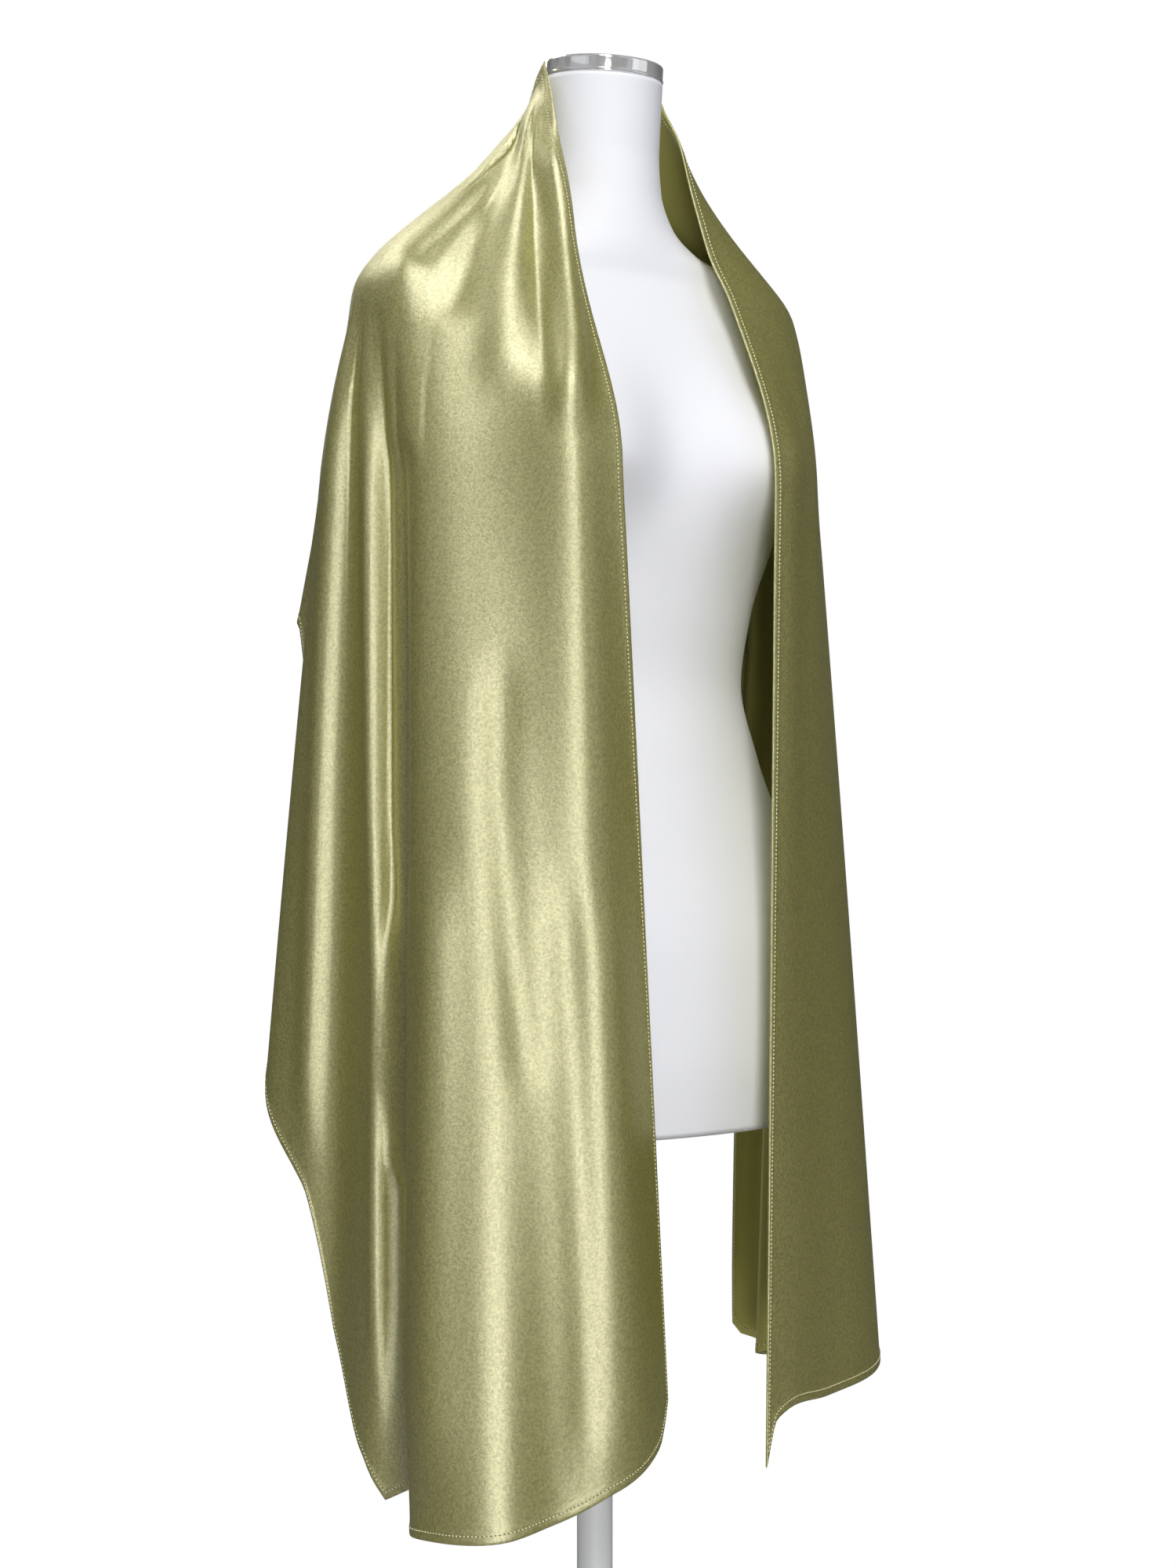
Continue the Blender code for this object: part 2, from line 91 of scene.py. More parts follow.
# FOLDS: each line of the cloth from collar to hem: turn at collar and shoulder, place at bust and foot, hem.
FOLDS = [
    # name, collar, shoulder, bust_x, bust_y, foot_x, foot_y, hem_z
    ("r_edge",         94,  35.0, -0.0694, -0.1342, -0.0206, -0.1200, 0.556),
    ("r_edge_in",      97,  40.0, -0.0903, -0.1393, -0.0443, -0.1425, 0.532),
    ("r_crest_a",     100,  46.0, -0.1102, -0.1421, -0.0975, -0.1634, 0.514),
    ("r_valley_a",    103,  54.0, -0.1286, -0.1194, -0.1354, -0.1535, 0.499),
    ("r_crest_b",     106,  62.0, -0.1493, -0.0938, -0.1690, -0.1538, 0.494),
    ("r_panel_side",  109,  70.0, -0.1750, -0.0660, -0.1969, -0.1132, 0.489),
    ("r_overfold",    113,  77.0, -0.1775, -0.0468, -0.1870, -0.0717, 0.484),
    ("r_under_in",    116,  80.5, -0.1740, -0.0345, -0.1479, -0.0691, 0.492),
    ("r_under_out",   118,  83.5, -0.1765, -0.0290, -0.1438, -0.0309, 0.498),
    ("r_corner",      121,  87.0, -0.1795, -0.0225, -0.1641,  0.0070, 0.482),
    ("r_side_flat",   122,  88.5, -0.1838, -0.0111, -0.1715,  0.0216, 0.507),
    ("r_side_dip",    124,  90.5, -0.1852,  0.0139, -0.1693,  0.0719, 0.585),
    ("r_side_crest",  127,  94.0, -0.1905,  0.0259, -0.1865,  0.0968, 0.683),
    ("r_side_turn",   130,  98.0, -0.1821,  0.0640, -0.2040,  0.1460, 0.770),
    ("r_back_dip",    134, 102.5, -0.1705,  0.0800, -0.1760,  0.1180, 0.960),
    ("r_flap",        140, 108.0, -0.1639,  0.0985, -0.2473,  0.1788, 1.073),
    ("r_blade",       158, 130.0, -0.1150,  0.1050, -0.1180,  0.1280, 1.020),
    ("back",          180, 180.0,  0.0000,  0.1050,  0.0000,  0.1280, 0.990),
    ("l_blade",       202, 230.0,  0.1150,  0.1020,  0.1180,  0.1260, 0.990),
    ("l_flap",        224, 250.0,  0.2035,  0.0750,  0.2300,  0.1450, 0.985),
    ("l_back_dip",    231, 256.0,  0.1815,  0.0500,  0.1800,  0.0930, 0.820),
    ("l_corner",      237, 261.5,  0.1921,  0.0335,  0.1993,  0.1061, 0.535),
    ("l_under_out",   241, 265.0,  0.1912,  0.0195,  0.2230,  0.0700, 0.524),
    ("l_under_in",    245, 268.5,  0.1739,  0.0068,  0.1650,  0.0300, 0.536),
    ("l_side_crest",  250, 275.0,  0.1697, -0.0250,  0.2246, -0.0067, 0.545),
    ("l_side",        255, 285.0,  0.1455, -0.0668,  0.1873, -0.0853, 0.541),
    ("l_panel",       260, 298.0,  0.1192, -0.0965,  0.1075, -0.1267, 0.542),
    ("l_dip",         264, 309.0,  0.0991, -0.1109,  0.0597, -0.1511, 0.547),
    ("l_edge_in",     268, 319.0,  0.0772, -0.1267,  0.0366, -0.1577, 0.541),
    ("l_edge",        272, 327.0,  0.0537, -0.1356,  0.0268, -0.1604, 0.512),
]
BUST_LINE, FOOT_LINE = 1.165, 0.500   # heights at which the folds' places are given
HANG = (1.165, 1.120, 1.040, 0.900, 0.700, 0.420)
CORNERS = ("r_corner", "l_corner")    # where the outer hem meets the two bottom hems
CLEAR = 0.0028           # from the form's face to the middle of the cloth
EASE = 0.003             # how softly the cloth lifts off the form

NAMES = [row[0] for row in FOLDS]
LAST = len(FOLDS) - 1


def smooth_through(xs, ys, x):
    """A curve through the points that never overshoots them; ys may hold several columns."""
    xs, ys = np.asarray(xs, float), np.asarray(ys, float)
    if xs[0] > xs[-1]:
        xs, ys = xs[::-1], ys[::-1]
    column = (-1,) + (1,) * (ys.ndim - 1)
    gap = np.diff(xs)
    rate = np.diff(ys, axis=0) / gap.reshape(column)
    first = (2 * gap[1:] + gap[:-1]).reshape(column)
    second = (gap[1:] + 2 * gap[:-1]).reshape(column)
    slope = np.zeros_like(ys)
    same = rate[:-1] * rate[1:] > 0
    safe = np.where(same, rate[:-1], 1.0), np.where(same, rate[1:], 1.0)
    mean = (first + second) / (first / safe[0] + second / safe[1])
    slope[1:-1] = np.where(same, mean, 0.0)
    slope[0], slope[-1] = rate[0], rate[-1]
    x = np.asarray(x, float)
    k = np.clip(np.searchsorted(xs, x) - 1, 0, len(gap) - 1)
    wide = x.shape + (1,) * (ys.ndim - 1)
    t = ((x - xs[k]) / gap[k]).reshape(wide)
    step = gap[k].reshape(wide)
    value = (2 * t**3 - 3 * t**2 + 1) * ys[k] + (3 * t**2 - 2 * t**3) * ys[k + 1]
    return value + step * ((t**3 - 2 * t**2 + t) * slope[k] + (t**3 - t**2) * slope[k + 1])


def bend_through(ts, points, t):
    """A natural cubic spline through points at ts."""
    n = len(ts)
    h = np.diff(ts)
    left = np.zeros((n, n))
    right = np.zeros_like(points)
    left[0, 0] = left[-1, -1] = 1.0
    for i in range(1, n - 1):
        left[i, i - 1:i + 2] = h[i - 1], 2 * (h[i - 1] + h[i]), h[i]
        right[i] = 6 * ((points[i + 1] - points[i]) / h[i] - (points[i] - points[i - 1]) / h[i - 1])
    curve = np.linalg.solve(left, right)
    k = np.clip(np.searchsorted(ts, t) - 1, 0, n - 2)
    step = h[k][:, None]
    a = (ts[k + 1] - t)[:, None] / step
    b = (t - ts[k])[:, None] / step
    arc = ((a**3 - a) * curve[k] + (b**3 - b) * curve[k + 1]) * step**2 / 6
    return a * points[k] + b * points[k + 1] + arc


def body_radius(turn, z):
    """The form's radius and centre at a turn in radians from the front; a positive turn is the form's right."""
    table = np.array(BODY)
    row = smooth_through(table[:, 0], table[:, 1:], np.clip(z, table[0, 0], table[-1, 0]))
    half, front, back, centre, square = (row[..., i] for i in range(5))
    s, c = np.abs(np.sin(turn)), np.cos(turn)
    deep = np.where(c > 0, front, back)
    r = ((s / half) ** square + (np.abs(c) / deep) ** square) ** (-1 / square)
    lift = np.exp(-((z - BUST_Z) / np.where(z > BUST_Z, BUST_UP, BUST_DOWN)) ** 2)
    degrees = (np.degrees(turn) + 180) % 360 - 180
    for side in (-1, 1):
        r = r + BUST_RISE * lift * np.exp(-((degrees - side * BUST_TURN) / BUST_SPREAD) ** 2)
    return r, centre


def body_point(turn, z):
    r, centre = body_radius(turn, z)
    return np.stack([-r * np.sin(turn), centre - r * np.cos(turn), z + 0 * r], -1)


def on_ring(degrees, right, left, front, back, centre):
    t = math.radians(degrees)
    s, c = math.sin(t), math.cos(t)
    square = 2.0 if c > 0 else 2.3
    half = right if s > 0 else left
    deep = front if c > 0 else back
    r = ((abs(s) / half) ** square + (abs(c) / deep) ** square) ** (-1 / square)
    return (-r * s, centre - r * c)


def collar_height(degrees):
    return smooth_through([c[0] for c in COLLAR_EDGE], [c[1] for c in COLLAR_EDGE], degrees)


def fold_line(row):
    """The heights and plan places one fold line runs through, collar to hem."""
    name, collar, shoulder, bust_x, bust_y, foot_x, foot_y, hem = row
    heights = [float(collar_height(float(collar)))]
    places = [on_ring(collar, COLLAR_RADIUS, COLLAR_RADIUS, COLLAR_DEPTH, COLLAR_DEPTH, COLLAR_Y)]
    for z, right, left, front, back, centre, fan in TENT:
        heights.append(z)
        places.append(on_ring(collar + (shoulder - collar) * fan, right, left, front, back, centre))
    bust, foot = np.array([bust_x, bust_y]), np.array([foot_x, foot_y])
    for z in HANG:
        heights.append(z)
        places.append(tuple(bust + (foot - bust) * (BUST_LINE - z) / (BUST_LINE - FOOT_LINE)))
    return np.array(heights), np.array(places)


LINES = [fold_line(row) for row in FOLDS]


def section(z, s):
    """The cloth's plan at height z for places s, where s counts fold lines from the right front edge."""
    places = []
    for heights, path in LINES:
        places.append(smooth_through(heights, path, min(z, heights[0])))
    places = np.array(places)
    runs = np.linalg.norm(np.diff(places, axis=0), axis=1) ** 0.75
    ts = np.concatenate([[0], np.cumsum(runs)])
    k = np.clip(np.floor(s).astype(int), 0, LAST - 1)
    return bend_through(ts, places, ts[k] + (ts[k + 1] - ts[k]) * (s - k))


def hem_height(s):
    """Height of the hem at s, with a kink at each corner."""
    hems = np.array([row[-1] for row in FOLDS])
    ends = (0, NAMES.index(CORNERS[0]), NAMES.index(CORNERS[1]), LAST)
    out = np.zeros_like(s)
    for low, high in zip(ends[:-1], ends[1:]):
        inside = (s >= low) & (s <= high)
        out[inside] = smooth_through(np.arange(low, high + 1), hems[low:high + 1], s[inside])
    return out


def off_the_form(plan, z):
    """Pushes plan points out of the form, softly."""
    r, centre = body_radius(np.arctan2(-plan[..., 0], -plan[..., 1]), z)
    away = plan - np.stack([0 * centre, centre], -1)
    far = np.linalg.norm(away, axis=-1)
    r, centre = body_radius(np.arctan2(-away[..., 0], -away[..., 1]), z)
    fade = np.clip((z - (BODY[0][0] - 0.13)) / 0.12, 0, 1)
    need = (r + CLEAR) * fade * fade * (3 - 2 * fade)
    deep = np.clip((need - far) / EASE, -20, 20)
    out = np.where(need - far > 20 * EASE, need, far + EASE * np.log1p(np.exp(deep)))
    return np.stack([0 * centre, centre], -1) + away * (out / far)[..., None]


# FORM AND CAP
SEAT = 0.0003
TILT_FROM = 1.425              # the neck starts to tilt here
CAP_TILT = math.radians(5.5)   # the neck's top falls to the front
# the chrome cap's profile, bottom to top: radius and height above the neck
CAP_PROFILE = (
    (0.0398, 0.0000), (0.0410, 0.0003), (0.0414, 0.0009), (0.0414, 0.0016), (0.0410, 0.0022),
    (0.0409, 0.0030), (0.0409, 0.0092), (0.0409, 0.0100), (0.0406, 0.0108), (0.0399, 0.0113), (0.0385, 0.0115),
    (0.0300, 0.0115),
)

# STITCHES of the hem
STITCH_PITCH = 0.0027
STITCH_LONG = 0.0020
STITCH_RISE = 0.00028
STITCH_BED = 0.00066           # from the cloth's middle to the bed of the stitch row
STITCH_SIDES = 5
# a stitch's rings: place along it, rise and thickness, each as a share
STITCH_RINGS = ((-0.5, -0.3, 0.25), (-0.34, 0.45, 0.85), (0.0, 1.0, 1.0), (0.34, 0.45, 0.85), (0.5, -0.3, 0.25))
THREAD_RADIUS = 0.00042
HOLE_RADIUS = 0.00048
HOLE_BED = 0.00066
HOLE_DOME = 0.00005            # a hole's middle stands this much prouder than its rim
HOLE_SIDES = 6

# COLOURS, linear
SATIN = (0.218, 0.204, 0.024)
# the wrong side's own matte olive, lightened as painted fill light for the shaded inside of the collar and far
# panel
SATIN_BACK_PAINTED_FILL = (0.455, 0.435, 0.125)
JERSEY = (0.86, 0.87, 0.92)
THREAD = (0.82, 0.79, 0.50)
# painted shade: dark discs standing in for the shade in the stitch row's needle holes
HOLE_PAINTED_SHADE = (0.045, 0.042, 0.016)
PAINT = (0.84, 0.85, 0.87)

# LIGHT
FLOOR = 40.0
SKY = (0.94, 0.965, 1.0)
SKY_FRONT = (-0.60, -0.80, 0.40)
SKY_DIM, SKY_BRIGHT = 0.08, 0.22
LAMPS = (
    # name, place, aimed at, size, power, colour
    ("key_low", (-1.22, -2.30, 0.48), (0.0, 0.0, 0.48), (0.5, 0.9), 25.0, (1.0, 0.99, 0.97)),
    ("key_high", (-1.15, -2.33, 2.35), (0.0, 0.0, 1.25), (0.4, 1.0), 20.0, (1.0, 0.99, 0.97)),
    ("top", (-0.60, -1.10, 3.15), (0.0, 0.0, 1.25), (0.6, 0.6), 25.0, (1.0, 0.99, 0.97)),
    ("fill_right", (1.9, -2.3, 1.9), (0.0, 0.0, 1.1), (1.8, 1.8), 7.0, (0.97, 0.98, 1.0)),
    ("card_left", (-3.20, -0.40, 1.50), (0.0, 0.0, 1.1), (2.2, 1.6), 3.5, (0.98, 0.99, 1.0)),
    ("back_left", (-0.50, 1.70, 3.10), (-0.1, 0.0, 1.3), (0.9, 0.9), 21.0, (1.0, 0.99, 0.97)),
    ("back_right", (1.2, 3.0, 2.2), (0.0, 0.0, 1.1), (1.0, 1.2), 12.0, (1.0, 0.99, 0.97)),
)

# HEIGHTS at which the cloth's plan is worked out: lowest, highest and how many
LADDER = ((0.44, 1.155, 240), (1.1575, 1.46, 180))
LADDER_SOFT = 9          # steps of height that a turn in the cloth is rounded over

# CREASES seen from the camera: first s, last s, lift, width at each end in photo pixels, line in photo pixels.
# A lift above 0 is a ridge on the cloth's outside, and below 0 a trough.
RIDGE_FORM, TROUGH_FORM = 2.0, 1.45      # how round their tops and bottoms are
SOFT_FROM = 18                           # a trough at least this wide at its end is as round as a ridge
SEEN_CREASES = (
    # the side behind the front layer's edge
    (8.2, 10.6, 0.0062, 9, 10, ((462, 380), (474, 600), (478, 1000), (484, 1280), (482, 1500), (482, 1880))),
    (11.2, 12.7, 0.0060, 12, 16, ((452, 400), (428, 600), (416, 800), (408, 1000), (394, 1400), (396, 1540))),
    (6.7, 9.8, -0.0085, 8, 11, ((488, 380), (491, 700), (493, 1040), (502, 1280), (503, 1500), (506, 1890))),
    # the front layer, shoulder to hem
    (3.9, 6.2, 0.0060, 24, 30, ((556, 1060), (554, 1250), (550, 1500), (548, 1700), (552, 1950))),
    (1.2, 5.4, -0.0045, 24, 24, ((640, 800), (636, 1000), (652, 1200), (676, 1430))),
    (0.8, 3.6, -0.0045, 24, 24, ((716, 1060), (735, 1400), (748, 1700), (754, 1940))),
    (0.8, 2.8, 0.0030, 22, 24, ((770, 1100), (784, 1400), (802, 1700), (810, 1930))),
    # the front layer's edge at the shoulder
    (5.2, 9.6, 0.0045, 20, 24, ((524, 300), (514, 360), (510, 430), (510, 600))),
    # from the neck to the shoulder
    (4.5, 13.0, -0.0035, 12, 16, ((628, 212), (606, 250), (570, 292), (520, 338))),
    (2.8, 6.8, -0.0050, 15, 26, ((664, 140), (641, 205), (620, 258), (594, 330), (560, 420))),
    (1.8, 5.0, 0.0050, 9, 34, ((688, 110), (676, 180), (664, 260), (650, 360), (640, 520))),
    (0.8, 3.4, -0.0025, 9, 12, ((684, 120), (678, 205), (680, 300), (690, 420), (706, 540))),
    (0.0, 2.6, 0.0115, 15, 22, ((696, 150), (711, 260), (720, 360), (727, 440), (728, 560))),
)

# CAMERA: the photograph's viewing angle
CAMERA_AT = (-1.0131, -1.4935, 0.96)
CAMERA_TURN = -34.0      # degrees about Z from looking along +Y
LENS = 59.15
SENSOR = 36.0
PHOTO_WIDE, PHOTO_HIGH = 1500, 2000

# SHEET
WALL = 0.0010            # the satin's own thickness, drawn a little heavy
HEM_EXTRA = 0.0004       # a turned hem stands this much prouder on each face
HEM_WIDE = 0.0072
STITCH_IN = 0.0055       # stitch row from the finished edge
FINE_ACROSS = 26         # samples between two fold lines before the grid is laid out
FINE_DOWN = 620
ACROSS = 300
DOWN = 158
ACROSS_WEIGHT = ((0, 1.5), (12, 1.5), (14, 0.8), (19, 0.8), (21, 1.15), (LAST, 1.15))   # at s
DOWN_WEIGHT = ((0, 1.35), (0.35, 1.35), (0.45, 1.0), (1, 1.0))                          # at t
EDGE_STEPS = (0.0, 0.0006, 0.0022, 0.0042, 0.0055, 0.0068, 0.0078, 0.0110)


def photo_place(points):
    """Where points fall in the photograph, in its own pixels, y down."""
    turn = math.radians(CAMERA_TURN)
    right = np.array([math.cos(turn), math.sin(turn), 0.0])
    ahead = np.array([-math.sin(turn), math.cos(turn), 0.0])
    away = points - np.array(CAMERA_AT)
    far = away @ ahead
    focal = LENS / SENSOR * PHOTO_HIGH
    x = PHOTO_WIDE / 2 + focal * (away @ right) / far
    y = PHOTO_HIGH / 2 - focal * away[..., 2] / far
    return np.stack([x, y], -1)


def run_length(points, axis):
    """Running length along one axis of a grid of points."""
    steps = np.linalg.norm(np.diff(points, axis=axis), axis=-1)
    start = np.zeros_like(np.take(steps, [0], axis))
    return np.concatenate([start, np.cumsum(steps, axis)], axis)


def share_out(density, places, count):
    """count places spread from the first to the last so that they crowd where density is high."""
    total = np.concatenate([[0], np.cumsum(0.5 * (density[1:] + density[:-1]) * np.diff(places))])
    return np.interp(np.linspace(0, total[-1], count), total, places)


def relaid(grid, carried, length, inner, low, high):
    """Lays each line of grid out again: exact distances from its two ends, and inner shares between them.

    carried holds the line's own parameter, and it comes back for the new points.
    """
    rows = []
    tags = []
    for points, tag, run in zip(grid, carried, length):
        end = run[-1]
        first, last = np.interp([low[-1], end - high[-1]], run, tag)
        middle = np.interp(first + (last - first) * inner, tag, run)
        at = np.concatenate([low, middle, end - high[::-1]])
        rows.append(np.stack([np.interp(at, run, points[:, k]) for k in range(3)], -1))
        tags.append(np.interp(at, run, tag))
    return np.array(rows), np.array(tags)


def grid_normals(grid):
    across = np.gradient(grid, axis=0)
    down = np.gradient(grid, axis=1)
    out = np.cross(across, down)
    return out / np.maximum(np.linalg.norm(out, axis=-1, keepdims=True), 1e-12)


def add_mesh(name, points, faces, looks, marks=None, uvs=None):
    data = bpy.data.meshes.new(name)
    data.from_pydata([tuple(p) for p in np.asarray(points).tolist()], [], faces)
    for look in looks:
        data.materials.append(look)
    data.polygons.foreach_set("use_smooth", [True] * len(data.polygons))
    if marks is not None:
        data.polygons.foreach_set("material_index", marks)
    if uvs is not None:
        layer = data.uv_layers.new(name="flat")
        corners = np.zeros(len(data.loops), np.int32)
        data.loops.foreach_get("vertex_index", corners)
        layer.data.foreach_set("uv", np.asarray(uvs, np.float32)[corners].ravel())
    data.update()
    made = bpy.data.objects.new(name, data)
    bpy.context.scene.collection.objects.link(made)
    return made


def fine_cloth(s, t):
    """Middle of the cloth: s across the folds, t from 0 at the collar's edge to 1 at the hem.

    It is the CAD solids' cloth, worked out finely enough for satin to show no facets.
    """
    turns = np.interp(s, np.arange(LAST + 1), [row[1] for row in FOLDS])
    top = collar_height(turns)
    hem = hem_height(s)
    z = top[:, None] + (hem - top)[:, None] * t[None, :]
    ladder = np.concatenate([np.linspace(*part) for part in LADDER])
    plans = softened(np.array([section(height, s) for height in ladder]))
    out = np.zeros(z.shape + (3,))
    for i in range(len(s)):
        for axis in (0, 1):
            out[i, :, axis] = np.interp(z[i], ladder, plans[:, i, axis])
        out[i, :, 2] = z[i]
    out[..., :2] = off_the_form(out[..., :2], out[..., 2])
    return out


def softened(plans):
    """Plans at rising heights, each averaged with its neighbours so that no turn shows as a line."""
    reach = np.arange(-LADDER_SOFT, LADDER_SOFT + 1)
    shares = LADDER_SOFT + 1.0 - np.abs(reach)
    rows = np.arange(len(plans))
    room = np.minimum(LADDER_SOFT, np.minimum(rows, rows[::-1]))[:, None, None]
    total, weight = 0 * plans, 0 * plans
    for step, share in zip(reach, shares):
        near = plans[np.clip(rows + step, 0, len(plans) - 1)]
        used = share * (abs(step) <= room)
        total += used * near
        weight += used
    return total / weight


def lay_grid():
    """The cloth's middle surface on the grid that is shown, and each point's s."""
    s = np.linspace(0, LAST, LAST * FINE_ACROSS + 1)
    t = np.linspace(0, 1, FINE_DOWN)
    fine = fine_cloth(s, t)
    steps = np.array(EDGE_STEPS)
    wide = np.linalg.norm(np.diff(fine[:, FINE_DOWN // 3:], axis=0), axis=-1).mean(1)
    wide = np.concatenate([wide[:1], wide])
    weight = np.interp(s, *zip(*ACROSS_WEIGHT))
    inner = share_out(wide * weight, s, ACROSS - 2 * len(steps) + 2)[1:-1] / LAST
    rows = fine.transpose(1, 0, 2)
    tags = np.tile(s, (FINE_DOWN, 1))
    rows, tags = relaid(rows, tags, run_length(rows, 1), inner, steps, steps)
    columns, s_at = rows.transpose(1, 0, 2), tags.T
    weight = np.interp(t, *zip(*DOWN_WEIGHT))
    inner = share_out(weight, t, DOWN - 2 * len(steps) + 2)[1:-1]
    tags = np.tile(t, (len(columns), 1))
    grid, t_at = relaid(columns, tags, run_length(columns, 1), inner, steps, steps)
    s_at = np.array([np.interp(row, t, line) for row, line in zip(t_at, s_at)])
    return grid, s_at


def crease_lift(grid, s_at):
    """Lift along the cloth's outside, from creases that are placed on the photograph's own view of them."""
    seen = photo_place(grid)
    lift = np.zeros(grid.shape[:2])
    for low, high, depth, wide_a, wide_b, line in SEEN_CREASES:
        form = TROUGH_FORM if depth < 0 and wide_b < SOFT_FROM else RIDGE_FORM
        lift += depth * ridge(seen, line, wide_a, wide_b, form) * ((s_at >= low) & (s_at <= high))
    return lift


def ridge(places, line, wide_a, wide_b, form):
    """1 along a line and 0 away from it, its width easing from wide_a to wide_b and its ends fading."""
    line = np.array(line, float)
    steps = np.linalg.norm(np.diff(line, axis=0), axis=1)
    starts = np.concatenate([[0], np.cumsum(steps)])
    nearest = np.full(places.shape[:-1], 1e9)
    along = np.zeros(places.shape[:-1])
    for k, step in enumerate(steps):
        way = (line[k + 1] - line[k]) / step
        share = np.clip((places - line[k]) @ way, 0, step)
        off = np.linalg.norm(places - line[k] - share[..., None] * way, axis=-1)
        closer = off < nearest
        nearest = np.where(closer, off, nearest)
        along = np.where(closer, starts[k] + share, along)
    along /= starts[-1]
    wide = wide_a + (wide_b - wide_a) * along
    fade = np.clip(np.minimum(along, 1 - along) / 0.18, 0, 1)
    return np.exp(-(nearest / wide) ** form) * fade * fade * (3 - 2 * fade)


def shell(grid):
    """Outer and inner faces of the sheet, with the hem's turned and stitched edge."""
    out = grid_normals(grid)
    edge = edge_distance(grid)
    steps = np.array(EDGE_STEPS)
    body = np.interp(edge, steps, (0.40, 0.85, 1, 1, 1, 1, 1, 1)) * WALL / 2
    hem = np.interp(edge, steps, (0.25, 0.80, 1, 1, 0.15, 1, 0.3, 0)) * HEM_EXTRA
    push = (body + hem)[..., None] * out
    return grid + push, grid - push, out


def edge_distance(grid):
    """Distance of each point of the grid from the nearest finished edge, along the cloth."""
    across, down = run_length(grid, 0), run_length(grid, 1)
    ends = np.stack([across, across[-1:] - across, down, down[:, -1:] - down])
    return ends.min(0)


def make_sheet(looks):
    grid, s_at = lay_grid()
    lift = crease_lift(grid, s_at)
    grid = grid + lift[..., None] * grid_normals(grid)
    grid[..., :2] = off_the_form(grid[..., :2], grid[..., 2])
    outer, inner, out = shell(grid)
    wide, deep = grid.shape[:2]
    index = np.arange(wide * deep).reshape(wide, deep)
    size = wide * deep
    a, b, c, d = index[:-1, :-1], index[1:, :-1], index[1:, 1:], index[:-1, 1:]
    front = np.stack([a, b, c, d], -1).reshape(-1, 4)
    back = np.stack([a, d, c, b], -1).reshape(-1, 4) + size
    rim = np.concatenate([index[:, 0], index[-1, 1:], index[-2::-1, -1], index[0, -2:0:-1]])
    after = np.roll(rim, -1)
    side = np.stack([rim, rim + size, after + size, after], -1)
    faces = np.concatenate([front, back, side])
    marks = np.concatenate([np.zeros(len(front)), np.ones(len(back)), np.zeros(len(side))]).astype(np.int32)
    flat_x = run_length(grid, 0).mean(1, keepdims=True) + 0 * s_at
    flat_y = run_length(grid, 1)
    uvs = np.stack([flat_x, flat_y], -1).reshape(-1, 2)
    points = np.concatenate([outer.reshape(-1, 3), inner.reshape(-1, 3)])
    made = add_mesh("stole_sheet", points, faces.tolist(), looks, marks, np.concatenate([uvs, uvs]))
    return made, grid, out


def stitch_path(grid, out):
    """The stitch row's closed path round the sheet, as evenly spaced places, normals and directions."""
    k = EDGE_STEPS.index(STITCH_IN)
    far_x, far_y = grid.shape[0] - 1 - k, grid.shape[1] - 1 - k
    corners = [(slice(k, far_x), k), (far_x, slice(k, far_y)),
               (slice(far_x, k, -1), far_y), (k, slice(far_y, k, -1))]
    path = np.concatenate([grid[c] for c in corners])
    turn = np.concatenate([out[c] for c in corners])
    path = np.concatenate([path, path[:1]])
    turn = np.concatenate([turn, turn[:1]])
    run = run_length(path, 0)
    count = int(run[-1] / STITCH_PITCH)
    at = np.arange(count) * run[-1] / count

    def spots(shift):
        place = (at + shift) % run[-1]
        return np.stack([np.interp(place, run, path[:, i]) for i in range(3)], -1)

    normals = np.stack([np.interp(at, run, turn[:, i]) for i in range(3)], -1)
    normals /= np.linalg.norm(normals, axis=-1, keepdims=True)
    ways = spots(0.0005) - spots(-0.0005)
    ways /= np.linalg.norm(ways, axis=-1, keepdims=True)
    return spots(0.0), normals, ways


